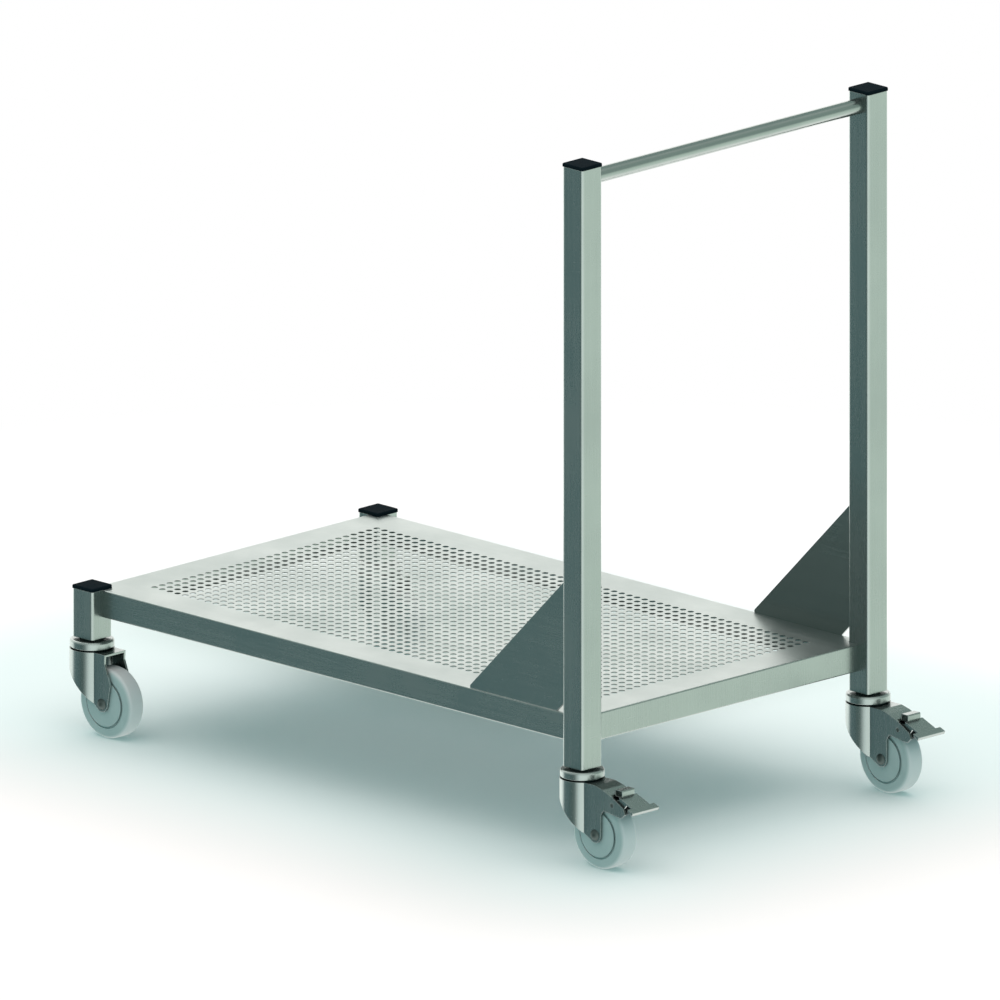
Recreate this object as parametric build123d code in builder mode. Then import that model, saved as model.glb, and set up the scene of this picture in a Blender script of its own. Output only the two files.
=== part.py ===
from build123d import *
from build123d.topology import SkipClean
from math import asin, cos, degrees, radians, sin
import os

# Cleanroom transport cart. Millimetres, +Z up from the floor, +X towards the push end, Y across.

# The four posts: square tube, sizes over their outer faces
cart_length = 1000
cart_width = 600
tube = 40
tube_wall = 2
tube_corner = 5
post_bottom = 137
push_post_top = 998
cap_height = 5
cap_corner = 2
cap_edge = 1.2
cap_shank = 22
cap_wall = 2.5
plug_clearance = 0.2

# The deck: one folded sheet, whose outer faces lie in the posts' middle planes
deck_top = 206
sheet = 1
apron_height = 39
lip_width = 18
bend_radius = 2
hole_pitch = 15
hole_diameter = 9
holes_along = 57
holes_across = 30

# Gusset plates and the push handle
gusset_leg = 200
gusset_thickness = 3
gusset_clip = 30
gusset_tip = 4
bar_diameter = 22
bar_wall = 2
bar_height = 979.5

# The swivel of each caster, as radii and heights above the floor
fork_radius = 31.5
fork_top = 121
fork_sheet = 3
fork_half_width = 20.5
race_inner_radius = 12
race_outer_radius = 21
race_top = 123.5
head_bottom = 123
head_top = 134.5
head_radius = 31
head_rim_radius = 23.5
head_shoulder = 3.5
head_foot = 0.8
ball_track_top = 129.1
boss_radius = 9.6
boss_bottom = 117.6
boss_bore = 6.3
fork_hole_radius = 10
seal_inner_radius = 24
seal_outer_radius = 28
seal_bottom = 121.4
ball_radius = 2.5
ball_ring_radius = 16.5
balls_per_swivel = 16
bolt_radius = 6
bolt_flange_radius = 13
bolt_flange = 2.5
bolt_head_radius = 10.4
bolt_head = 6
bolt_top = 170
plug_height = 36
collar_radius = 17
thread_clearance = 0.05

# The wheel and its axle
wheel_radius = 50
wheel_width = 30
tyre_inner_radius = 35.5
tyre_shoulder = 7
rim_width = 26
rim_inner_radius = 30
web_thickness = 8
hub_radius = 16
bearing_radius = 11
bearing_width = 7
bearing_inset = 1
sleeve_radius = 6
axle_radius = 4
axle_fit = 0.05
axle_head = 4.5
axle_head_radius = 8
axle_nut = 6.5
axle_nut_radius = 7.5
axle_tail = 1.5
guard_radius = 32.5
guard_bore = 8
guard_thickness = 1.4
plain_trail = 39
braked_trail = 45
leg_end_radius = 11

# Outlines of the forks seen from the side, from the swivel axis and the floor
fork_front_bottom = 104
leg_front = (22, 50.3)
leg_end_step = 6.6
leg_end_z = 41.2
plain_rear_edge = [(55.5, 80), (44.5, 108)]
braked_rear_edge = [(56.5, 80), (61.5, 88), (97, 83.5), (104, 90), (100, 98.5), (78, 110.5), (60, 117.5)]
roof_rear = 45
outline_spare = 1
inside_bottom = 20
plain_inside_end = 80
braked_inside_end = 140
braked_inside_top = 130

# Underside of a braked fork's hood
hood_start_x = 44.3
hood_front = (59.1, 114.6)
hood_end = (74, 108.8)

# The foot brake on the two rear casters, placed from the swivel axis and the floor
pedal_pin_x = 78
pedal_pin_z = 98.5
pedal_pin_radius = 3
pedal_pin_fit = 0.05
pedal_turn = 10
pedal_front = 89.2
pedal_tip = 125
pedal_front_z = 111.5
pedal_tip_z = 97
pedal_sheet = 2.6
pedal_half_width = 17
lip_start = 115
lip_half_width = 26
lip_sheet = 3.6
lip_foot = (123.3, 92.9)
ear_sheet = 2.5
ear_radius = 6.5
ear_front = 90.5
ear_rear = 104
tab_front = 90.5
tab_length = 14.5
tab_height = 10
tab_wall = 1.3
tab_corner = 2.2
tab_half_width = 12
tab_bottom = 110
shoe_gap = 0.4
shoe_depth = 4
shoe_start = 50
shoe_end = 60
spring_thickness = 1
spring_half_width = 6
spring_end = (86, 106)

# Places that follow from the sizes above
post_x = cart_length / 2 - tube / 2
post_y = cart_width / 2 - tube / 2
deck_length = 2 * post_x
deck_width = 2 * post_y
apron_bottom = deck_top - apron_height
front_reach = post_x + fork_radius
rear_reach = post_x + pedal_tip
plan_x = (front_reach - rear_reach) / 2
rear_x = plan_x + post_x
front_x = plan_x - post_x
fork_roof = fork_top - fork_sheet
leg_inside = fork_half_width - fork_sheet
plug_side = tube - 2 * tube_wall - 2 * plug_clearance
plug_corner = tube_corner - tube_wall - plug_clearance

corners = {
    "rear_left": (rear_x, -post_y),
    "rear_right": (rear_x, post_y),
    "front_left": (front_x, -post_y),
    "front_right": (front_x, post_y),
}
rear_corners = ("rear_left", "rear_right")

os.makedirs("parts", exist_ok=True)


def finish(builder, name):
    builder.part.label = name
    export_step(builder.part, f"parts/{name}.step")


def level(place, height):
    """Level plane above a place on the floor."""
    return Plane(origin=(place[0], place[1], height))


def upright(place):
    """Upright plane along the cart through a place on the floor: across it is X, up it is Z."""
    return Plane(origin=(place[0], place[1], 0), x_dir=(1, 0, 0), z_dir=(0, -1, 0))


def axle_plane(place, trail):
    """Upright plane across the cart through a wheel's axle: across it is Y, up it is the radius."""
    return Plane(origin=(place[0] + trail, place[1], wheel_radius), x_dir=(0, 1, 0), z_dir=(1, 0, 0))


def axle_axis(place, trail):
    return Axis((place[0] + trail, place[1], wheel_radius), (0, 1, 0))


def swivel_axis(place):
    return Axis((place[0], place[1], 0), (0, 0, 1))


def trail_of(corner):
    return braked_trail if corner in rear_corners else plain_trail


# Square tube posts: tall at the push end, level with the deck at the front
for corner, place in corners.items():
    post_top = push_post_top if corner in rear_corners else deck_top
    with BuildPart() as post:
        with BuildSketch(level(place, post_bottom)):
            RectangleRounded(tube, tube, tube_corner)
            RectangleRounded(
                tube - 2 * tube_wall, tube - 2 * tube_wall, tube_corner - tube_wall, mode=Mode.SUBTRACT
            )
        extrude(amount=post_top - post_bottom)
    finish(post, f"{corner}_post")

    # Plastic cap with a hollow shank inside the tube
    with BuildPart() as cap:
        with BuildSketch(level(place, post_top)):
            RectangleRounded(tube, tube, cap_corner)
        extrude(amount=cap_height)
        chamfer(cap.faces().sort_by(Axis.Z)[-1].edges(), cap_edge)
        with BuildSketch(level(place, post_top)):
            RectangleRounded(plug_side, plug_side, plug_corner)
            Rectangle(plug_side - 2 * cap_wall, plug_side - 2 * cap_wall, mode=Mode.SUBTRACT)
        extrude(amount=-cap_shank)
    finish(cap, f"{corner}_cap")

    # Threaded plug in the foot of the tube, with a round collar below it
    with BuildPart() as stem_plug:
        with BuildSketch(level(place, post_bottom)):
            RectangleRounded(plug_side, plug_side, plug_corner)
        extrude(amount=plug_height)
        with BuildSketch(level(place, head_top)):
            Circle(collar_radius)
        extrude(amount=post_bottom - head_top)
        with BuildSketch(level(place, head_top)):
            Circle(bolt_radius + thread_clearance)
        extrude(amount=plug_height + post_bottom - head_top, mode=Mode.SUBTRACT)
    finish(stem_plug, f"{corner}_stem_plug")

    # Swivel head with a round shoulder: a boss through the fork's top and a rim around the balls
    with BuildPart() as head:
        with BuildSketch(upright(place)):
            with BuildLine():
                shoulder_centre = (head_radius - head_shoulder, head_top - head_shoulder)
                shoulder = CenterArc(shoulder_centre, head_shoulder, 0, 90)
                Polyline(
                    shoulder @ 1,
                    (boss_bore, head_top),
                    (boss_bore, boss_bottom),
                    (boss_radius, boss_bottom),
                    (boss_radius, ball_track_top),
                    (head_rim_radius, ball_track_top),
                    (head_rim_radius, head_bottom),
                    (head_radius - head_foot, head_bottom),
                    (head_radius, head_bottom + head_foot),
                    shoulder @ 0,
                )
            make_face()
        revolve(axis=swivel_axis(place))
    finish(head, f"{corner}_swivel_head")

# Folded deck tray, notched around the posts and pierced by the hole field
deck_place = (plan_x, 0)
field_length = holes_along * hole_pitch
field_width = holes_across * hole_pitch
hole_row = GridLocations(hole_pitch, hole_pitch, 1, holes_across)
row_holes = [Wire.make_circle(hole_diameter / 2, Plane(spot)) for spot in hole_row.local_locations]
pierced_row = Face(Wire.make_rect(hole_pitch, field_width), row_holes)
pierced_row = pierced_row.moved(Location((plan_x, 0, deck_top - sheet)))
row_places = GridLocations(hole_pitch, hole_pitch, holes_along, 1)
pierced_rows = [pierced_row.moved(spot) for spot in row_places.local_locations]
with BuildPart() as tray_inside:
    with BuildSketch(level(deck_place, apron_bottom + sheet)):
        Rectangle(deck_length - 2 * sheet, deck_width - 2 * sheet)
    extrude(amount=apron_height - 2 * sheet)
    level_edges = tray_inside.edges().filter_by(Axis.X) + tray_inside.edges().filter_by(Axis.Y)
    fillet(level_edges, bend_radius - sheet)
with BuildPart() as tray:
    with BuildSketch(level(deck_place, apron_bottom)):
        Rectangle(deck_length, deck_width)
        with GridLocations(deck_length, deck_width, 2, 2):
            Rectangle(tube, tube, mode=Mode.SUBTRACT)
    extrude(amount=apron_height)
    long_edges = tray.edges().filter_by(Axis.X).sort_by(Axis.Y)
    short_edges = tray.edges().filter_by(Axis.Y).sort_by(Axis.X)
    fillet(long_edges[:2] + long_edges[-2:] + short_edges[:2] + short_edges[-2:], bend_radius)
    add(tray_inside.part, mode=Mode.SUBTRACT)
    with BuildSketch(level(deck_place, apron_bottom)):
        Rectangle(deck_length - 2 * lip_width, deck_width - 2 * lip_width)
    extrude(amount=sheet, mode=Mode.SUBTRACT)
    with BuildSketch(level(deck_place, deck_top)):
        Rectangle(field_length, field_width)
    extrude(amount=-sheet, mode=Mode.SUBTRACT)
    with SkipClean():
        extrude(pierced_rows, amount=sheet, dir=(0, 0, 1), clean=False)
finish(tray, "deck_tray")

# Gusset plates on the deck's top, flush with its sides, against the tall posts
for side, sign in (("left", -1), ("right", 1)):
    gusset_y = sign * (deck_width - gusset_thickness) / 2
    post_face = rear_x - tube / 2
    with BuildPart() as gusset:
        with BuildSketch(upright((post_face, gusset_y))):
            Polygon(
                (-gusset_leg, deck_top),
                (-gusset_clip, deck_top),
                (0, deck_top + gusset_clip),
                (0, deck_top + gusset_leg),
                (-gusset_tip, deck_top + gusset_leg),
                (-gusset_leg, deck_top + gusset_tip),
                align=None,
            )
        extrude(amount=gusset_thickness / 2, both=True)
    finish(gusset, f"{side}_gusset")

# Round handle bar between the tall posts
bar_length = 2 * post_y - tube
with BuildPart() as bar:
    with BuildSketch(Plane(origin=(rear_x, 0, bar_height), x_dir=(1, 0, 0), z_dir=(0, -1, 0))):
        Circle(bar_diameter / 2)
        Circle(bar_diameter / 2 - bar_wall, mode=Mode.SUBTRACT)
    extrude(amount=bar_length / 2, both=True)
finish(bar, "handle_bar")

# One flange bolt per caster, from inside the fork up into the stem plug
with BuildPart() as swivel_bolts:
    for place in corners.values():
        with BuildSketch(level(place, boss_bottom)):
            Circle(bolt_radius)
        extrude(amount=bolt_top - boss_bottom)
        with BuildSketch(level(place, boss_bottom)):
            Circle(bolt_flange_radius)
        extrude(amount=-bolt_flange)
        with BuildSketch(level(place, boss_bottom - bolt_flange)):
            RegularPolygon(bolt_head_radius, 6)
        extrude(amount=-bolt_head)
finish(swivel_bolts, "swivel_bolts")

with BuildPart() as swivel_seals:
    for place in corners.values():
        with BuildSketch(level(place, seal_bottom)):
            Circle(seal_outer_radius)
            Circle(seal_inner_radius, mode=Mode.SUBTRACT)
        extrude(amount=head_bottom - seal_bottom)
finish(swivel_seals, "swivel_seals")

ball_height = (race_top + ball_track_top) / 2
with BuildPart() as swivel_balls:
    for place in corners.values():
        with Locations(level(place, ball_height)):
            with PolarLocations(ball_ring_radius, balls_per_swivel):
                Sphere(ball_radius)
finish(swivel_balls, "swivel_balls")


def fork_side(trail, rear_edge):
    """Outline of a fork seen from the side: front, leg down to the axle, rear edge and top."""
    fork_front = -fork_radius - outline_spare
    return [
        (fork_front, fork_top),
        (fork_front, fork_front_bottom),
        leg_front,
        (trail - leg_end_step, leg_end_z),
        (trail, wheel_radius),
        (trail + leg_end_radius, wheel_radius),
        *rear_edge,
        (roof_rear, fork_top),
    ]


# The space inside a fork: level under the top, and on a braked fork along its hood and open past its end
plain_inside = [
    (0, inside_bottom),
    (plain_inside_end, inside_bottom),
    (plain_inside_end, fork_roof),
    (0, fork_roof),
]
braked_inside = [
    (0, inside_bottom),
    (braked_inside_end, inside_bottom),
    (braked_inside_end, braked_inside_top),
    (hood_end[0], braked_inside_top),
    hood_end,
    hood_front,
    (hood_start_x, fork_roof),
    (0, fork_roof),
]

for corner, place in corners.items():
    braked = corner in rear_corners
    trail = trail_of(corner)
    side_points = fork_side(trail, braked_rear_edge if braked else plain_rear_edge)
    inside_points = braked_inside if braked else plain_inside
    fork_rear = max(x for x, z in side_points)

    # Pressed fork: a round front about the swivel axis that runs into two flat legs
    with BuildPart() as fork:
        with BuildSketch(level(place, 0)):
            Circle(fork_radius)
            with Locations((fork_rear / 2, 0)):
                Rectangle(fork_rear, 2 * fork_half_width)
        extrude(amount=fork_top)
        with BuildSketch(upright(place)):
            Polygon(*side_points, align=None)
            with Locations((trail, wheel_radius)):
                Circle(leg_end_radius)
        extrude(amount=fork_radius, both=True, mode=Mode.INTERSECT)
        with BuildSketch(level(place, 0)):
            Circle(fork_radius - fork_sheet)
        extrude(amount=fork_roof, mode=Mode.SUBTRACT)
        with BuildSketch(upright(place)):
            Polygon(*inside_points, align=None)
        extrude(amount=leg_inside, both=True, mode=Mode.SUBTRACT)
        with BuildSketch(level(place, fork_top)):
            Circle(race_outer_radius)
            Circle(race_inner_radius, mode=Mode.SUBTRACT)
        extrude(amount=race_top - fork_top)
        with BuildSketch(level(place, fork_roof)):
            Circle(fork_hole_radius)
        extrude(amount=fork_sheet, mode=Mode.SUBTRACT)
        with BuildSketch(upright(place)):
            with Locations((trail, wheel_radius)):
                Circle(axle_radius + axle_fit)
            if braked:
                with Locations((pedal_pin_x, pedal_pin_z)):
                    Circle(pedal_pin_radius + pedal_pin_fit)
        extrude(amount=fork_radius, both=True, mode=Mode.SUBTRACT)
    finish(fork, f"{corner}_fork")

    # Axle bolt with a domed head, its nut, and the sleeve that keeps the legs apart
    axle_face = Plane(
        origin=(place[0] + trail, place[1] - fork_half_width, wheel_radius), x_dir=(1, 0, 0), z_dir=(0, 1, 0)
    )
    axle_end = fork_half_width + axle_nut + axle_tail
    dome_radius = (axle_head_radius**2 + axle_head**2) / (2 * axle_head)
    dome_angle = degrees(asin(axle_head_radius / dome_radius))
    dome_centre = dome_radius - axle_head - fork_half_width
    with BuildPart() as axle_bolt:
        with BuildSketch(axle_plane(place, trail)):
            with BuildLine():
                dome = CenterArc((dome_centre, 0), dome_radius, 180 - dome_angle, dome_angle)
                Polyline(
                    dome @ 1,
                    (axle_end, 0),
                    (axle_end, axle_radius),
                    (-fork_half_width, axle_radius),
                    dome @ 0,
                )
            make_face()
        revolve(axis=axle_axis(place, trail))
    with BuildPart() as axle_nut_piece:
        with BuildSketch(axle_face.offset(2 * fork_half_width)):
            RegularPolygon(axle_nut_radius, 6)
            Circle(axle_radius + axle_fit, mode=Mode.SUBTRACT)
        extrude(amount=axle_nut)
    with BuildPart() as axle_fasteners:
        add(axle_bolt.part)
        add(axle_nut_piece.part)
    finish(axle_fasteners, f"{corner}_axle_bolt")

    with BuildPart() as sleeve:
        with BuildSketch(axle_face.offset(fork_sheet)):
            Circle(sleeve_radius)
            Circle(axle_radius + axle_fit, mode=Mode.SUBTRACT)
        extrude(amount=2 * leg_inside)
    finish(sleeve, f"{corner}_axle_sleeve")

    # Wheel: soft tyre with round shoulders, moulded core, two bearings and two thread guards
    with BuildPart() as tyre:
        with BuildSketch(axle_plane(place, trail)):
            with Locations((0, (wheel_radius + tyre_inner_radius) / 2)):
                tread = Rectangle(wheel_width, wheel_radius - tyre_inner_radius)
            fillet(tread.vertices().sort_by(Axis.Y)[-2:], tyre_shoulder)
        revolve(axis=axle_axis(place, trail))
    finish(tyre, f"{corner}_tyre")

    with BuildPart() as core:
        with BuildSketch(axle_plane(place, trail)):
            with Locations((0, (bearing_radius + hub_radius) / 2)):
                Rectangle(wheel_width, hub_radius - bearing_radius)
            with Locations((0, (hub_radius + rim_inner_radius) / 2)):
                Rectangle(web_thickness, rim_inner_radius - hub_radius)
            with Locations((0, (rim_inner_radius + tyre_inner_radius) / 2)):
                Rectangle(rim_width, tyre_inner_radius - rim_inner_radius)
        revolve(axis=axle_axis(place, trail))
    finish(core, f"{corner}_wheel_core")

    bearing_y = wheel_width / 2 - bearing_inset - bearing_width / 2
    with BuildPart() as bearings:
        with BuildSketch(axle_plane(place, trail)):
            bearing_bore = sleeve_radius + axle_fit
            with Locations((-bearing_y, (bearing_bore + bearing_radius) / 2)):
                Rectangle(bearing_width, bearing_radius - bearing_bore)
            with Locations((bearing_y, (bearing_bore + bearing_radius) / 2)):
                Rectangle(bearing_width, bearing_radius - bearing_bore)
        revolve(axis=axle_axis(place, trail))
    finish(bearings, f"{corner}_wheel_bearings")

    guard_y = wheel_width / 2 + guard_thickness / 2
    with BuildPart() as guards:
        with BuildSketch(axle_plane(place, trail)):
            with Locations((-guard_y, (guard_bore + guard_radius) / 2)):
                Rectangle(guard_thickness, guard_radius - guard_bore)
            with Locations((guard_y, (guard_bore + guard_radius) / 2)):
                Rectangle(guard_thickness, guard_radius - guard_bore)
        revolve(axis=axle_axis(place, trail))
    finish(guards, f"{corner}_thread_guards")

# The brake shoe's face is round the axle, a small gap off the tyre, when the pedal is down
turn = radians(pedal_turn)
axle_from_pin_x = braked_trail - pedal_pin_x
axle_from_pin_z = wheel_radius - pedal_pin_z
shoe_centre = (
    pedal_pin_x + axle_from_pin_x * cos(turn) - axle_from_pin_z * sin(turn),
    pedal_pin_z + axle_from_pin_x * sin(turn) + axle_from_pin_z * cos(turn),
)


def shoe_point(radius, degrees):
    angle = radians(degrees)
    return (shoe_centre[0] + radius * cos(angle), shoe_centre[1] + radius * sin(angle))


def tread_z(x):
    """Top of the pedal's tread, which slopes down to its tip."""
    return pedal_front_z + (pedal_tip_z - pedal_front_z) * (x - pedal_front) / (pedal_tip - pedal_front)


spring_line = [hood_front, hood_end, spring_end]
shoe_face = wheel_radius + shoe_gap
shoe_back = shoe_face + shoe_depth
for corner in rear_corners:
    place = corners[corner]

    # Pedal: sloping tread, wide lip, rolled release tab and two ears on the pin
    with BuildPart() as pedal:
        with BuildSketch(upright(place)):
            Polygon(
                (pedal_front, tread_z(pedal_front) - pedal_sheet),
                (lip_start, tread_z(lip_start) - pedal_sheet),
                (lip_start, tread_z(lip_start)),
                (pedal_front, tread_z(pedal_front)),
                align=None,
            )
        extrude(amount=pedal_half_width, both=True)
        with BuildSketch(upright(place)):
            Polygon(
                (lip_start, tread_z(lip_start) - lip_sheet),
                lip_foot,
                (pedal_tip, tread_z(pedal_tip)),
                (lip_start, tread_z(lip_start)),
                align=None,
            )
        extrude(amount=lip_half_width, both=True)
        tab_centre = (tab_front - tab_length / 2, tab_bottom + tab_height / 2)
        with BuildSketch(upright(place)):
            with Locations(tab_centre):
                RectangleRounded(tab_length, tab_height, tab_corner)
        extrude(amount=tab_half_width, both=True)
        with BuildSketch(upright(place)):
            with Locations(tab_centre):
                RectangleRounded(
                    tab_length - 2 * tab_wall, tab_height - 2 * tab_wall, tab_corner - tab_wall
                )
        extrude(amount=tab_half_width, both=True, mode=Mode.SUBTRACT)
        for ear_side in (-1, 1):
            ear_y = place[1] + ear_side * (pedal_half_width - ear_sheet / 2)
            with BuildSketch(upright((place[0], ear_y))):
                Polygon(
                    (pedal_pin_x, pedal_pin_z + ear_radius),
                    (pedal_pin_x - ear_radius, pedal_pin_z),
                    shoe_point(shoe_face, shoe_end),
                    shoe_point(shoe_face, shoe_start),
                    shoe_point(shoe_back, shoe_start),
                    (ear_rear, tread_z(ear_rear) - pedal_sheet),
                    (ear_front, tread_z(ear_front) - pedal_sheet),
                    align=None,
                )
                with Locations((pedal_pin_x, pedal_pin_z)):
                    Circle(ear_radius)
                with Locations(shoe_centre):
                    Circle(shoe_face, mode=Mode.SUBTRACT)
                with Locations((pedal_pin_x, pedal_pin_z)):
                    Circle(pedal_pin_radius + pedal_pin_fit, mode=Mode.SUBTRACT)
            extrude(amount=ear_sheet / 2, both=True)
    finish(pedal, f"{corner}_brake_pedal")

    # Brake shoe between the ears
    shoe_half_width = pedal_half_width - ear_sheet
    with BuildPart() as shoe:
        with BuildSketch(upright(place)):
            with BuildLine():
                face_arc = CenterArc(shoe_centre, shoe_face, shoe_start, shoe_end - shoe_start)
                back_arc = CenterArc(shoe_centre, shoe_back, shoe_start, shoe_end - shoe_start)
                Line(face_arc @ 0, back_arc @ 0)
                Line(face_arc @ 1, back_arc @ 1)
            make_face()
        extrude(amount=shoe_half_width, both=True)
    finish(shoe, f"{corner}_brake_shoe")

    # Pin through the fork's cheeks, flush with them
    with BuildPart() as pin:
        with BuildSketch(upright(place)):
            with Locations((pedal_pin_x, pedal_pin_z)):
                Circle(pedal_pin_radius)
        extrude(amount=fork_half_width, both=True)
    finish(pin, f"{corner}_brake_pin")

    # Leaf spring along the underside of the hood, reaching below the release tab
    with BuildPart() as spring:
        with BuildSketch(upright(place)):
            Polygon(
                *[(x, z - spring_thickness) for x, z in spring_line],
                *reversed(spring_line),
                align=None,
            )
        extrude(amount=spring_half_width, both=True)
    finish(spring, f"{corner}_brake_spring")
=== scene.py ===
import math

import bmesh
import bpy
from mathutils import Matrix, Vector


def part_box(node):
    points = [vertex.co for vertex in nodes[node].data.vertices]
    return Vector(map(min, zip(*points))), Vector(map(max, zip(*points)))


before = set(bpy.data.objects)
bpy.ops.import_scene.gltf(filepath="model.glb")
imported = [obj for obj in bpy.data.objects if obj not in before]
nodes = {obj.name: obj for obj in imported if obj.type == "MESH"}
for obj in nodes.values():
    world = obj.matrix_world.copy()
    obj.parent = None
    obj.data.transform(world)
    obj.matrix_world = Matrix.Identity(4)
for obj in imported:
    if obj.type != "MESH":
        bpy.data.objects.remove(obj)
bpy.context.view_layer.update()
scene = bpy.context.scene
scene.view_settings.view_transform = "Standard"

# Camera: a flat view without perspective, a little above the cart, from the push end's left corner
VIEW_AZIMUTH = 45.0
VIEW_ELEVATION = 15.38
VIEW_DISTANCE = 12.0
VIEW_WIDTH = 1.385
VIEW_POINT = Vector((-0.00355, -0.0043, 0.380))
VIEW_NEAREST = 0.1
VIEW_FARTHEST = 60.0


def place_camera():
    data = bpy.data.cameras.new("camera")
    data.type = "ORTHO"
    data.ortho_scale = VIEW_WIDTH
    data.clip_start = VIEW_NEAREST
    data.clip_end = VIEW_FARTHEST
    camera = bpy.data.objects.new("camera", data)
    scene.collection.objects.link(camera)
    turn, rise = math.radians(VIEW_AZIMUTH), math.radians(VIEW_ELEVATION)
    back = Vector((math.sin(turn) * math.cos(rise), -math.cos(turn) * math.cos(rise), math.sin(rise)))
    camera.location = VIEW_POINT + back * VIEW_DISTANCE
    camera.rotation_mode = "QUATERNION"
    camera.rotation_quaternion = (-back).to_track_quat("-Z", "Y")
    scene.camera = camera


# A Mix node's two inputs and its result, by the kind of data it mixes
MIX_SOCKETS = {"RGBA": (6, 7, 2), "VECTOR": (4, 5, 1)}


class Wiring:
    """Makes and joins the shader nodes of one material, group or world."""

    def __init__(self, tree):
        self.tree = tree

    def feed(self, socket, value):
        if isinstance(value, bpy.types.NodeSocket):
            self.tree.links.new(value, socket)
        else:
            socket.default_value = value

    def node(self, kind, inputs=None, **settings):
        made = self.tree.nodes.new("ShaderNode" + kind)
        for key, value in settings.items():
            setattr(made, key, value)
        for key, value in (inputs or {}).items():
            self.feed(made.inputs[key], value)
        return made

    def group(self, tree, inputs):
        return self.node("Group", inputs, node_tree=tree).outputs

    def math(self, operation, first, second=0.0):
        return self.node("Math", {0: first, 1: second}, operation=operation).outputs[0]

    def dot(self, vector, direction):
        return self.node("VectorMath", {0: vector, 1: direction}, operation="DOT_PRODUCT").outputs["Value"]

    def parts(self, vector):
        return self.node("SeparateXYZ", {0: vector}).outputs

    def spread(self, value, low, high, new_low=0.0, new_high=1.0, course="LINEAR"):
        """Value from low to high, laid out from new_low to new_high."""
        ranges = {"Value": value, "From Min": low, "From Max": high, "To Min": new_low, "To Max": new_high}
        return self.node("MapRange", ranges, interpolation_type=course).outputs["Result"]

    def blend(self, amount, first, second, kind="RGBA", way="MIX"):
        """From the first colour or vector to the second, as the amount goes from 0 to 1."""
        made = self.node("Mix", data_type=kind, blend_type=way)
        first_in, second_in, result = MIX_SOCKETS[kind]
        self.feed(made.inputs[0], amount)
        self.feed(made.inputs[first_in], first)
        self.feed(made.inputs[second_in], second)
        return made.outputs[result]

    def brighten(self, colour, gain):
        return self.node("HueSaturation", {"Color": colour, "Value": gain}).outputs["Color"]

    def noise(self, vector, size, detail, rough):
        inputs = {"Vector": vector, "Scale": size, "Detail": detail, "Roughness": rough}
        return self.node("TexNoise", inputs).outputs["Fac"]

    def ramp(self, amount, stops):
        made = self.node("ValToRGB", {"Fac": amount})
        elements = made.color_ramp.elements
        while len(elements) < len(stops):
            elements.new(0.5)
        for element, (spot, colour) in zip(elements, stops):
            element.position = spot
            element.color = (*colour, 1.0)
        return made.outputs["Color"]

    def place(self):
        return self.node("TexCoord").outputs["Object"]

    def facing(self, axis):
        """How far a face looks along an axis, from -1 to 1."""
        return self.parts(self.node("NewGeometry").outputs["True Normal"])[axis]

    def glow(self, kind, colour, strength=1.0):
        """Even light: an Emission from a surface, or a Background from the world."""
        return self.node(kind, {"Color": colour, "Strength": strength}).outputs[0]

    def mix_shaders(self, amount, first, second):
        return self.node("MixShader", {0: amount, 1: first, 2: second}).outputs["Shader"]


# How a steel's lines are drawn out: coarse along the piece and fine across it
ALONG_X = (10.0, 900.0, 900.0)
ALONG_Y = (900.0, 10.0, 900.0)
ALONG_Z = (900.0, 900.0, 10.0)

# Effects that several finishes share, each a shader group
FINE_SHARE = 0.6
BROAD_SHARE = 0.4
BROAD_SIZE = 0.23
PATCH_SIZE = 9.0
PATCH_RANGE = (0.35, 0.7)
SCRATCH_TURN = (0.5, 0.9, 0.7)
SCRATCH_STRETCH = (700.0, 24.0, 700.0)
SCRATCH_RANGE = (0.72, 0.78)
EDGE_RADIUS = 0.0008
EDGE_SAMPLES = 6
EDGE_RANGE = (0.995, 0.8)
STIPPLE_SIZE = 1500.0
CLOUD_SIZE = 45.0
CLOUD_RANGE = (0.3, 0.7)


def new_group(name, inputs, outputs):
    """An empty shader group with its sockets, as (group, wiring, what comes in, what goes out)."""
    tree = bpy.data.node_groups.new(name, "ShaderNodeTree")
    for label, kind, value in inputs:
        socket = tree.interface.new_socket(label, in_out="INPUT", socket_type="NodeSocket" + kind)
        socket.default_value = value
    for label, kind in outputs:
        tree.interface.new_socket(label, in_out="OUTPUT", socket_type="NodeSocket" + kind)
    came = tree.nodes.new("NodeGroupInput").outputs
    went = tree.nodes.new("NodeGroupOutput").inputs
    return tree, Wiring(tree), came, went


def make_satin_grain():
    """Fine lines of a brushed or ground steel face, drawn out along one direction."""
    tree, wiring, came, went = new_group(
        "satin_grain",
        [("Stretch", "Vector", ALONG_Z)],
        [("Lines", "Float"), ("Height", "Float")],
    )
    stretched = wiring.node("VectorMath", {0: wiring.place(), 1: came["Stretch"]}, operation="MULTIPLY")
    lines = stretched.outputs["Vector"]
    fine = wiring.noise(lines, size=1.0, detail=3.0, rough=0.65)
    broad = wiring.noise(lines, size=BROAD_SIZE, detail=2.0, rough=0.5)
    fine_part = wiring.math("MULTIPLY", fine, FINE_SHARE)
    broad_part = wiring.math("MULTIPLY", broad, BROAD_SHARE)
    wiring.feed(went["Lines"], wiring.math("ADD", fine_part, broad_part))
    wiring.feed(went["Height"], fine)
    return tree


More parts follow.
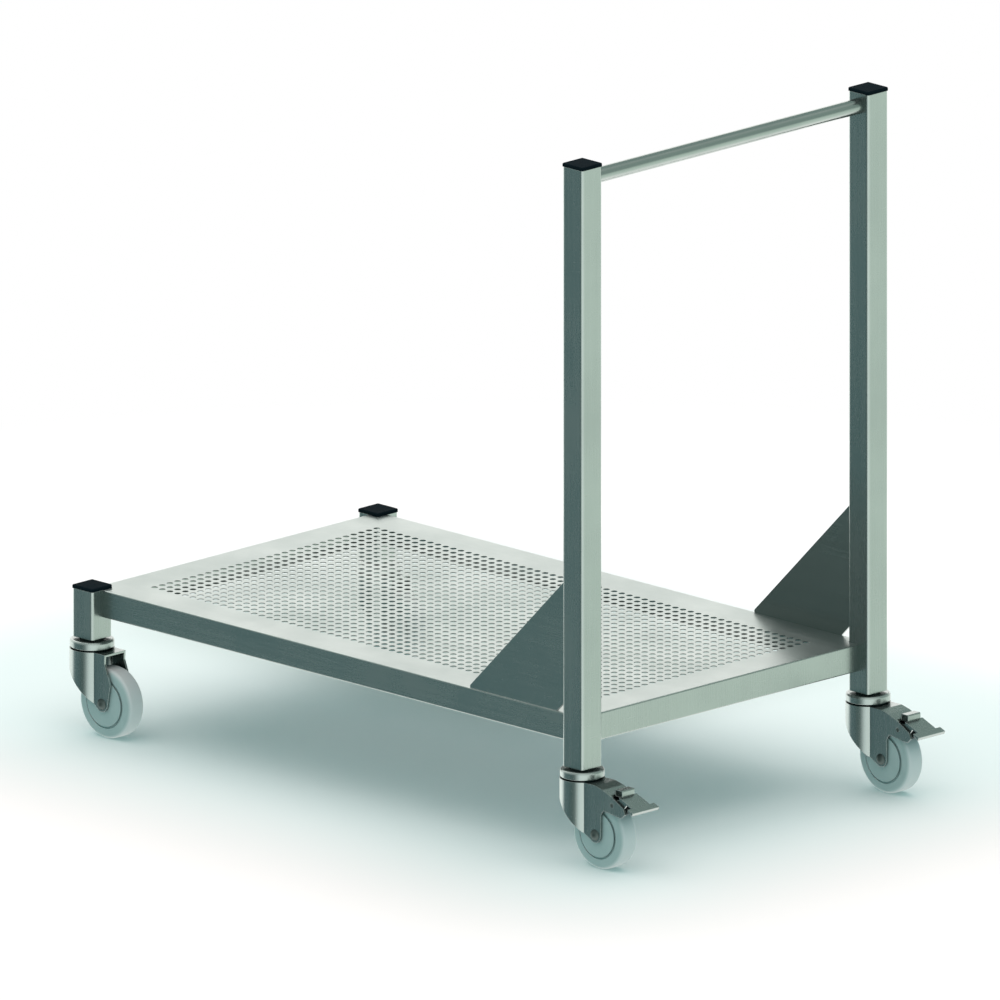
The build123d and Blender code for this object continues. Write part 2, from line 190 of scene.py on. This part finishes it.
def make_handling_marks():
    """Wiped and touched patches of bare steel, broad and faint, with a few fine scratches."""
    tree, wiring, came, went = new_group(
        "handling_marks",
        [("Patch Size", "Float", PATCH_SIZE)],
        [("Patches", "Float"), ("Scratches", "Float")],
    )
    place = wiring.place()
    patch = wiring.noise(place, came["Patch Size"], detail=4.0, rough=0.6)
    wiring.feed(went["Patches"], wiring.spread(patch, *PATCH_RANGE))
    slant = wiring.node("Mapping", {"Vector": place, "Rotation": SCRATCH_TURN, "Scale": SCRATCH_STRETCH})
    lines = wiring.noise(slant.outputs["Vector"], size=1.0, detail=1.0, rough=0.4)
    wiring.feed(went["Scratches"], wiring.spread(lines, *SCRATCH_RANGE))
    return tree


def make_soft_edges():
    """Rounded light on sharp edges, and where those edges are."""
    tree, wiring, came, went = new_group(
        "soft_edges",
        [("Radius", "Float", EDGE_RADIUS)],
        [("Normal", "Vector"), ("Edge", "Float")],
    )
    rounded = wiring.node("Bevel", {"Radius": came["Radius"]}, samples=EDGE_SAMPLES).outputs["Normal"]
    turn = wiring.dot(rounded, wiring.node("NewGeometry").outputs["Normal"])
    wiring.feed(went["Normal"], rounded)
    wiring.feed(went["Edge"], wiring.spread(turn, *EDGE_RANGE))
    return tree


def make_moulded_skin():
    """Fine stipple and cloudy tone of moulded plastic and rubber."""
    tree, wiring, came, went = new_group(
        "moulded_skin",
        [("Stipple", "Float", STIPPLE_SIZE), ("Cloud", "Float", CLOUD_SIZE)],
        [("Height", "Float"), ("Clouds", "Float")],
    )
    place = wiring.place()
    wiring.feed(went["Height"], wiring.noise(place, came["Stipple"], detail=3.0, rough=0.6))
    clouds = wiring.noise(place, came["Cloud"], detail=4.0, rough=0.6)
    wiring.feed(went["Clouds"], wiring.spread(clouds, *CLOUD_RANGE))
    return tree


satin_grain = make_satin_grain()
handling_marks = make_handling_marks()
soft_edges = make_soft_edges()
moulded_skin = make_moulded_skin()


def new_material(name):
    """A new material, as (material, wiring, its shader, where its surface goes out)."""
    material = bpy.data.materials.new(name)
    material.use_nodes = True
    material.node_tree.nodes.clear()
    wiring = Wiring(material.node_tree)
    shader = wiring.node("BsdfPrincipled")
    surface = wiring.node("OutputMaterial").inputs["Surface"]
    wiring.feed(surface, shader.outputs["BSDF"])
    return material, wiring, shader, surface


# Bare steel: its lines, scratches and rubbed edges
SATIN_DEPTH = 0.000012
PRESSED_DEPTH = 0.000005
GRAIN_STRENGTH = 0.6
LINE_RANGE = (0.3, 0.7)
LINE_TONE = (0.97, 1.03)
LINE_ROUGH = (-0.03, 0.03)
SCRATCH_ROUGH = 0.05
RUBBED_STEEL = (0.80, 0.82, 0.81, 1.0)
RUBBED_SHARE = 0.35
# Painted shade for the hole walls of a punched sheet and the hollows of a pressed fork, rougher walls where
# the holes were cut, and a rougher top with painted light
HOLE_AND_HOLLOW_SHADE = (0.11, 0.13, 0.122, 1.0)
TORN_ROUGH = 0.3
CARRY_ROUGH = 0.10
TOP_PAINTED_LIGHT = 1.22
HOLLOW_SHADE_SAMPLES = 8
HOLLOW_SHADE_RANGE = (0.35, 0.7)
# A face counts as square to an axis above SQUARE_ON, and as upright while it looks up or down below UPRIGHT
SQUARE_ON = 0.7
UPRIGHT = 0.5


def hole_walls(wiring, middle, half_size):
    """Where a sheet's upright faces lie inside its field of holes."""
    inside = wiring.math("LESS_THAN", wiring.math("ABSOLUTE", wiring.facing("Z")), UPRIGHT)
    place = wiring.parts(wiring.place())
    for axis, centre, reach in zip("XY", middle, half_size):
        away = wiring.math("ABSOLUTE", wiring.math("SUBTRACT", place[axis], centre))
        inside = wiring.math("MULTIPLY", inside, wiring.math("LESS_THAN", away, reach))
    return inside


def steel(
    name,
    colour,
    dull,
    rough,
    stretch,
    grain=SATIN_DEPTH,
    edge=EDGE_RADIUS,
    patch=PATCH_SIZE,
    folded=None,
    punched=None,
    hollow_shade=0.0,
):
    """Bare steel: satin lines, wiped patches, a few scratches and brighter rubbed edges.

    Where a sheet is folded down towards +X or -X its lines run as folded says. In the field of holes that
    punched gives, as its middle and half size, the upright walls are rough like cut edges and darkened with
    painted shade. A punched sheet's top faces are rougher, and paler with painted light. Narrow hollows, up
    to the width hollow_shade, are darkened with painted shade.
    """
    material, wiring, shader, _ = new_material(name)
    if folded:
        ends = wiring.math("GREATER_THAN", wiring.math("ABSOLUTE", wiring.facing("X")), SQUARE_ON)
        stretch = wiring.blend(ends, stretch, folded, kind="VECTOR")
    lines = wiring.group(satin_grain, {"Stretch": stretch})
    marks = wiring.group(handling_marks, {"Patch Size": patch})
    edges = wiring.group(soft_edges, {"Radius": edge})
    toned = wiring.blend(marks["Patches"], (*colour, 1.0), (*dull, 1.0))
    toned = wiring.blend(wiring.math("MULTIPLY", edges["Edge"], RUBBED_SHARE), toned, RUBBED_STEEL)
    toned = wiring.brighten(toned, wiring.spread(lines["Lines"], *LINE_RANGE, *LINE_TONE))
    wiped = wiring.spread(marks["Patches"], 0.0, 1.0, *rough)
    lined = wiring.math("ADD", wiped, wiring.spread(lines["Lines"], *LINE_RANGE, *LINE_ROUGH))
    roughness = wiring.math("ADD", lined, wiring.math("MULTIPLY", marks["Scratches"], SCRATCH_ROUGH))
    # Painted shade darkens the hole walls, which are also rougher
    if punched:
        torn_and_shaded = hole_walls(wiring, *punched)
        toned = wiring.blend(torn_and_shaded, toned, HOLE_AND_HOLLOW_SHADE)
        roughness = wiring.math("ADD", roughness, wiring.math("MULTIPLY", torn_and_shaded, TORN_ROUGH))
        # Painted light makes the top faces paler; they are also rougher
        top_faces = wiring.math("GREATER_THAN", wiring.facing("Z"), SQUARE_ON)
        toned = wiring.brighten(toned, wiring.spread(top_faces, 0.0, 1.0, 1.0, TOP_PAINTED_LIGHT))
        roughness = wiring.math("ADD", roughness, wiring.math("MULTIPLY", top_faces, CARRY_ROUGH))
    # Painted shade darkens narrow recesses, where little of the sky is seen
    if hollow_shade:
        open_sky = wiring.node("AmbientOcclusion", {"Distance": hollow_shade}, samples=HOLLOW_SHADE_SAMPLES)
        toned = wiring.blend(wiring.spread(open_sky.outputs["AO"], *HOLLOW_SHADE_RANGE), HOLE_AND_HOLLOW_SHADE, toned)
    wiring.feed(shader.inputs["Base Color"], toned)
    wiring.feed(shader.inputs["Roughness"], roughness)
    wiring.feed(shader.inputs["Metallic"], 1.0)
    raised = wiring.node("Bump", {"Height": lines["Height"], "Distance": grain, "Normal": edges["Normal"]})
    wiring.feed(raised.inputs["Strength"], GRAIN_STRENGTH)
    wiring.feed(shader.inputs["Normal"], raised.outputs["Normal"])
    return material


# Moulded plastic and rubber: the stipple's depth, the tone of rubbed edges, and where a tyre's tread begins
STIPPLE_DEPTH = 0.00004
STIPPLE_STRENGTH = 0.5
RUBBED_GAIN = 1.5
RUBBED_LIFT = 0.02
TREAD_RANGE = (0.95, 0.55)


def moulded(name, colour, pale, rough, rub=0.3, shine=0.5, lit_tread=None):
    """Moulded plastic or rubber: stippled skin, cloudy tone and paler rubbed edges.

    A tyre is paler where it rolls, between its flat sides, with painted light on the rolling face.
    """
    material, wiring, shader, _ = new_material(name)
    skin = wiring.group(moulded_skin, {"Stipple": STIPPLE_SIZE, "Cloud": CLOUD_SIZE})
    edges = wiring.group(soft_edges, {"Radius": EDGE_RADIUS})
    clouded = wiring.blend(skin["Clouds"], (*colour, 1.0), (*pale, 1.0))
    rubbed = tuple(min(1.0, part * RUBBED_GAIN + RUBBED_LIFT) for part in pale)
    toned = wiring.blend(wiring.math("MULTIPLY", edges["Edge"], rub), clouded, (*rubbed, 1.0))
    # Painted light: the tread is paler than the flat sides
    if lit_tread:
        sideways = wiring.parts(wiring.node("TexCoord").outputs["Normal"])["Y"]
        rolled = wiring.spread(wiring.math("ABSOLUTE", sideways), *TREAD_RANGE)
        toned = wiring.blend(rolled, toned, (*lit_tread, 1.0))
    wiring.feed(shader.inputs["Base Color"], toned)
    wiring.feed(shader.inputs["Roughness"], wiring.spread(skin["Clouds"], 0.0, 1.0, *rough))
    wiring.feed(shader.inputs["Specular IOR Level"], shine)
    raised = wiring.node(
        "Bump", {"Height": skin["Height"], "Distance": STIPPLE_DEPTH, "Normal": edges["Normal"]}
    )
    wiring.feed(raised.inputs["Strength"], STIPPLE_STRENGTH)
    wiring.feed(shader.inputs["Normal"], raised.outputs["Normal"])
    return material


# The field of holes ends well inside the deck's folded rim
DECK_RIM = 0.03
deck_low, deck_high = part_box("deck_tray")
deck_middle = [(low + high) / 2 for low, high in zip(deck_low[:2], deck_high[:2])]
field_half = [(high - low) / 2 - DECK_RIM for low, high in zip(deck_low[:2], deck_high[:2])]

# Each steel has its colour, its duller patches, its least and most roughness, and the way of its lines
STEEL = (0.66, 0.675, 0.66)
STEEL_DULL = (0.60, 0.62, 0.605)
DECK_EDGE = 0.00015
deck_steel = steel(
    "deck_sheet_steel",
    STEEL,
    STEEL_DULL,
    (0.24, 0.31),
    ALONG_X,
    edge=DECK_EDGE,
    folded=ALONG_Z,
    punched=(deck_middle, field_half),
)
post_steel = steel("post_tube_steel", STEEL, STEEL_DULL, (0.24, 0.30), ALONG_Z)
bar_steel = steel("handle_bar_steel", STEEL, STEEL_DULL, (0.20, 0.27), ALONG_Y)
gusset_steel = steel("gusset_plate_steel", STEEL, STEEL_DULL, (0.20, 0.27), ALONG_X)
PRESSED = ((0.64, 0.66, 0.65), (0.60, 0.62, 0.61), (0.24, 0.29), ALONG_Z)
# The fork's narrow recesses are darkened with painted shade
FORK_HOLLOW_SHADE = 0.05
fork_steel = steel("pressed_fork_steel", *PRESSED, grain=PRESSED_DEPTH, hollow_shade=FORK_HOLLOW_SHADE)
head_steel = steel("swivel_head_steel", *PRESSED, grain=PRESSED_DEPTH)
pedal_steel = steel("brake_pedal_steel", *PRESSED, grain=PRESSED_DEPTH)
BOLT_DARK = (0.15, 0.175, 0.17)
BOLT_DULL = (0.12, 0.145, 0.14)
BOLT_PATCH = 20.0
bolt_steel = steel("bolt_steel", BOLT_DARK, BOLT_DULL, (0.44, 0.54), ALONG_Y, patch=BOLT_PATCH)

# Each plastic or rubber has its colour, its paler clouds, and its least and most roughness
CAP_BLACK = (0.004, 0.008, 0.0105)
CAP_PALE = (0.005, 0.011, 0.0145)
cap_plastic = moulded("cap_plastic", CAP_BLACK, CAP_PALE, (0.50, 0.62), rub=0.2, shine=0.005)
SEAL_BLACK = (0.034, 0.042, 0.041)
SEAL_PALE = (0.045, 0.054, 0.053)
seal_rubber = moulded("seal_rubber", SEAL_BLACK, SEAL_PALE, (0.55, 0.70), shine=0.3)
WHEEL_GREY = (0.31, 0.405, 0.395)
WHEEL_PALE = (0.34, 0.435, 0.425)
# The tread's paler grey is painted light on the rolling face
TREAD_LIT_GREY = (0.575, 0.605, 0.60)
tyre_rubber = moulded("grey_tyre_rubber", WHEEL_GREY, WHEEL_PALE, (0.38, 0.50), rub=0.1, lit_tread=TREAD_LIT_GREY)
wheel_plastic = moulded("grey_wheel_plastic", WHEEL_GREY, WHEEL_PALE, (0.38, 0.48), rub=0.1)

# The finish of each piece, by how its name ends
FINISHES = (
    ("deck_tray", deck_steel),
    ("_post", post_steel),
    ("handle_bar", bar_steel),
    ("_gusset", gusset_steel),
    ("_cap", cap_plastic),
    ("_stem_plug", bolt_steel),
    ("_swivel_head", head_steel),
    ("swivel_bolts", bolt_steel),
    ("swivel_seals", seal_rubber),
    ("swivel_balls", bolt_steel),
    ("_fork", fork_steel),
    ("_axle_bolt", bolt_steel),
    ("_axle_sleeve", bolt_steel),
    ("_tyre", tyre_rubber),
    ("_wheel_core", wheel_plastic),
    ("_wheel_bearings", bolt_steel),
    ("_thread_guards", wheel_plastic),
    ("_brake_pedal", pedal_steel),
    ("_brake_shoe", seal_rubber),
    ("_brake_pin", bolt_steel),
    ("_brake_spring", bolt_steel),
)


def finish_of(name):
    for ending, material in FINISHES:
        if name.endswith(ending):
            return material
    raise ValueError(f"no finish for {name}")


for name, thing in nodes.items():
    material = finish_of(name)
    if not thing.material_slots:
        thing.data.materials.append(material)
    for slot in thing.material_slots:
        slot.material = material


# Stage: a pale floor that fades into white, soft light all round and a wide lamp overhead
WHITE = (1.0, 1.0, 1.0, 1.0)
FLOOR_RADIUS = 14.0
FLOOR_SIDES = 96
FLOOR_ROUGH = 0.8
FLOOR_SHINE = 0.1
FLOOR_WHITE = (0.95, 0.955, 0.95, 1.0)
FADE_RANGE = (0.9, 1.9)
BOUNCE_COLOUR = (0.86, 0.97, 0.95, 1.0)
BOUNCE_STRENGTH = 0.9
BOUNCE_SHARE = 0.7

# Painted shadows on the floor, each full over a box set off from the deck's own and fading outside it
PAINTED_GREY_SHADOW_ROUND_CART = {
    "colour": (0.72, 0.735, 0.725, 1.0),
    "along_x": (deck_low[0], deck_high[0]),
    "along_y": (deck_low[1], deck_high[1]),
    "fade": 0.75,
}
PAINTED_GREEN_SHADOW_BY_CART = {
    "colour": (0.70, 0.82, 0.81, 1.0),
    "along_x": (deck_low[0] - 0.28, deck_high[0] + 0.02),
    "along_y": (deck_low[1], deck_high[1] + 0.35),
    "fade": 0.4,
}
# A painted shadow behind the cart, where the deck's holes show the floor
PAINTED_DARK_SHADOW_BEHIND_CART = {
    "colour": (0.40, 0.50, 0.47, 1.0),
    "along_x": (deck_low[0] - 0.2, deck_high[0] - 0.65),
    "along_y": (deck_high[1] + 0.05, deck_high[1] + 0.25),
    "fade": 0.3,
}
PAINTED_FLOOR_SHADOWS = (PAINTED_GREY_SHADOW_ROUND_CART, PAINTED_GREEN_SHADOW_BY_CART, PAINTED_DARK_SHADOW_BEHIND_CART)


def near_box(wiring, place, along_x, along_y, fade):
    """1 inside a box on the floor, softly down to 0 at the distance fade from it."""
    inside = []
    for spot, (start, end) in ((place["X"], along_x), (place["Y"], along_y)):
        away = wiring.math("ABSOLUTE", wiring.math("SUBTRACT", spot, (start + end) / 2))
        half = (end - start) / 2
        inside.append(wiring.spread(away, half + fade, half, course="SMOOTHSTEP"))
    return wiring.math("MULTIPLY", *inside)


def make_floor():
    """The pale floor, with painted shadows round the cart. It keeps the cart's own shadow, and lights tyres
    and plastic evenly.
    """
    mesh = bpy.data.meshes.new("floor")
    made = bmesh.new()
    bmesh.ops.create_circle(made, cap_ends=True, segments=FLOOR_SIDES, radius=FLOOR_RADIUS)
    made.to_mesh(mesh)
    made.free()
    floor = bpy.data.objects.new("floor", mesh)
    scene.collection.objects.link(floor)
    material, wiring, shader, surface = new_material("pale_floor")
    place = wiring.place()
    beside = wiring.parts(place)
    toned = FLOOR_WHITE
    # Painted shadows round the cart, over its own shadow
    for shade in PAINTED_FLOOR_SHADOWS:
        inside = near_box(wiring, beside, shade["along_x"], shade["along_y"], shade["fade"])
        toned = wiring.blend(inside, toned, shade["colour"])
    wiring.feed(shader.inputs["Base Color"], toned)
    wiring.feed(shader.inputs["Roughness"], FLOOR_ROUGH)
    wiring.feed(shader.inputs["Specular IOR Level"], FLOOR_SHINE)
    reach = wiring.node("VectorMath", {0: place}, operation="LENGTH").outputs["Value"]
    path = wiring.node("LightPath").outputs
    faded = wiring.math("MULTIPLY", wiring.spread(reach, *FADE_RANGE), path["Is Camera Ray"])
    seen = wiring.mix_shaders(faded, shader.outputs["BSDF"], wiring.glow("Emission", WHITE))
    bounce = wiring.glow("Emission", BOUNCE_COLOUR, BOUNCE_STRENGTH)
    lit = wiring.math("MULTIPLY", path["Is Diffuse Ray"], BOUNCE_SHARE)
    wiring.feed(surface, wiring.mix_shaders(lit, seen, bounce))
    mesh.materials.append(material)
    floor.visible_glossy = False


def around(*stops):
    """Ramp stops from compass directions in degrees, counted from +X towards +Y, -180 to 180."""
    return [((turn + 180.0) / 360.0, colour) for turn, colour in stops]


# What metal mirrors: the studio level with the cart, and higher up
LEVEL_RING = around(
    (-180, (1.10, 1.22, 1.16)),
    (-163, (1.02, 1.14, 1.09)),
    (-150, (0.099, 0.172, 0.174)),
    (-120, (0.074, 0.137, 0.139)),
    (-97, (0.05, 0.095, 0.088)),
    (-83, (0.09, 0.14, 0.13)),
    (-62, (0.74, 0.88, 0.84)),
    (-45, (0.83, 0.96, 0.91)),
    (0, (0.72, 0.86, 0.78)),
    (45, (0.58, 0.72, 0.635)),
    (90, (0.78, 0.90, 0.83)),
    (135, (1.00, 1.03, 0.99)),
    (180, (1.10, 1.22, 1.16)),
)
HIGH_RING = around(
    (-180, (0.85, 0.95, 0.90)),
    (-160, (0.70, 0.80, 0.76)),
    (-148, (0.31, 0.38, 0.36)),
    (-80, (0.31, 0.38, 0.36)),
    (-60, (0.60, 0.70, 0.66)),
    (0, (0.50, 0.58, 0.54)),
    (45, (0.21, 0.30, 0.265)),
    (92, (0.40, 0.47, 0.44)),
    (112, (1.20, 1.22, 1.18)),
    (155, (1.20, 1.22, 1.18)),
    (180, (0.85, 0.95, 0.90)),
)
LEVEL_TO_HIGH = (-0.12, 0.12)
# The floor below, and a dark panel high up behind the cart
MIRRORED_FLOOR = (0.96, 1.02, 0.98, 1.0)
LEVEL_TO_FLOOR = (-0.42, -0.70)
DARK_PANEL = (0.20, 0.285, 0.26, 1.0)
PANEL_HEADING = (-0.33, 0.68, 0.655)
PANEL_RANGE = (0.89, 0.95)
# How far each colour is dimmed when one mirroring face shows in another
SECOND_MIRROR = (0.115, 0.15, 0.145, 1.0)
# Soft light on tyres, plastic and floor: at the horizon, high up and below
SKY_LOW = (0.01, 0.60, 0.62, 1.0)
SKY_HIGH = (1.0, 0.97, 0.955, 1.0)
SKY_BELOW = (0.03, 0.15, 0.15, 1.0)
LOW_TO_HIGH = (0.0, 0.8)
LOW_TO_BELOW = (0.0, -0.1)
SKY_STRENGTH = 0.9
# A ray has met no matt face yet while it counts less than half a diffuse bounce
HALF_BOUNCE = 0.5


def make_world():
    """White behind the cart, even soft light, and for metal a studio, dark on the left and light behind."""
    world = bpy.data.worlds.new("studio")
    scene.world = world
    world.use_nodes = True
    world.node_tree.nodes.clear()
    wiring = Wiring(world.node_tree)
    path = wiring.node("LightPath").outputs
    heading = wiring.node("TexCoord").outputs["Generated"]
    parts = wiring.parts(heading)
    rise = parts["Z"]
    turn = wiring.spread(wiring.math("ARCTAN2", parts["Y"], parts["X"]), -math.pi, math.pi)
    level, high = wiring.ramp(turn, LEVEL_RING), wiring.ramp(turn, HIGH_RING)
    ring = wiring.blend(wiring.spread(rise, *LEVEL_TO_HIGH), level, high)
    floored = wiring.blend(wiring.spread(rise, *LEVEL_TO_FLOOR), ring, MIRRORED_FLOOR)
    panel = wiring.spread(wiring.dot(heading, PANEL_HEADING), *PANEL_RANGE)
    studio = wiring.blend(panel, floored, DARK_PANEL)
    second = wiring.spread(path["Glossy Depth"], 1.0, 2.0)
    gloss = wiring.glow("Background", wiring.blend(second, studio, SECOND_MIRROR, way="MULTIPLY"))
    sky = wiring.blend(wiring.spread(rise, *LOW_TO_HIGH), SKY_LOW, SKY_HIGH)
    dome = wiring.blend(wiring.spread(rise, *LOW_TO_BELOW), sky, SKY_BELOW)
    soft = wiring.glow("Background", dome, SKY_STRENGTH)
    direct = wiring.math("LESS_THAN", path["Diffuse Depth"], HALF_BOUNCE)
    mirrored = wiring.math("MULTIPLY", path["Is Glossy Ray"], direct)
    lit = wiring.mix_shaders(mirrored, soft, gloss)
    shown = wiring.mix_shaders(path["Is Camera Ray"], lit, wiring.glow("Background", WHITE))
    wiring.feed(wiring.node("OutputWorld").inputs["Surface"], shown)


# The lamp above the cart, turned to a point just above the floor
SOFTBOX_PLACE = Vector((-0.25, 0.2, 3.0))
SOFTBOX_AIM = Vector((0.0, 0.0, 0.1))
SOFTBOX_SIDE = 5.6
SOFTBOX_POWER = 110.0
SOFTBOX_COLOUR = (1.0, 0.79, 0.78)


def hang_softbox():
    data = bpy.data.lights.new("overhead_softbox", "AREA")
    data.shape = "RECTANGLE"
    data.size = SOFTBOX_SIDE
    data.size_y = SOFTBOX_SIDE
    data.energy = SOFTBOX_POWER
    data.color = SOFTBOX_COLOUR
    lamp = bpy.data.objects.new("overhead_softbox", data)
    scene.collection.objects.link(lamp)
    lamp.location = SOFTBOX_PLACE
    lamp.rotation_mode = "QUATERNION"
    lamp.rotation_quaternion = (SOFTBOX_AIM - SOFTBOX_PLACE).to_track_quat("-Z", "Y")
    lamp.visible_glossy = False


make_floor()
make_world()
hang_softbox()
place_camera()
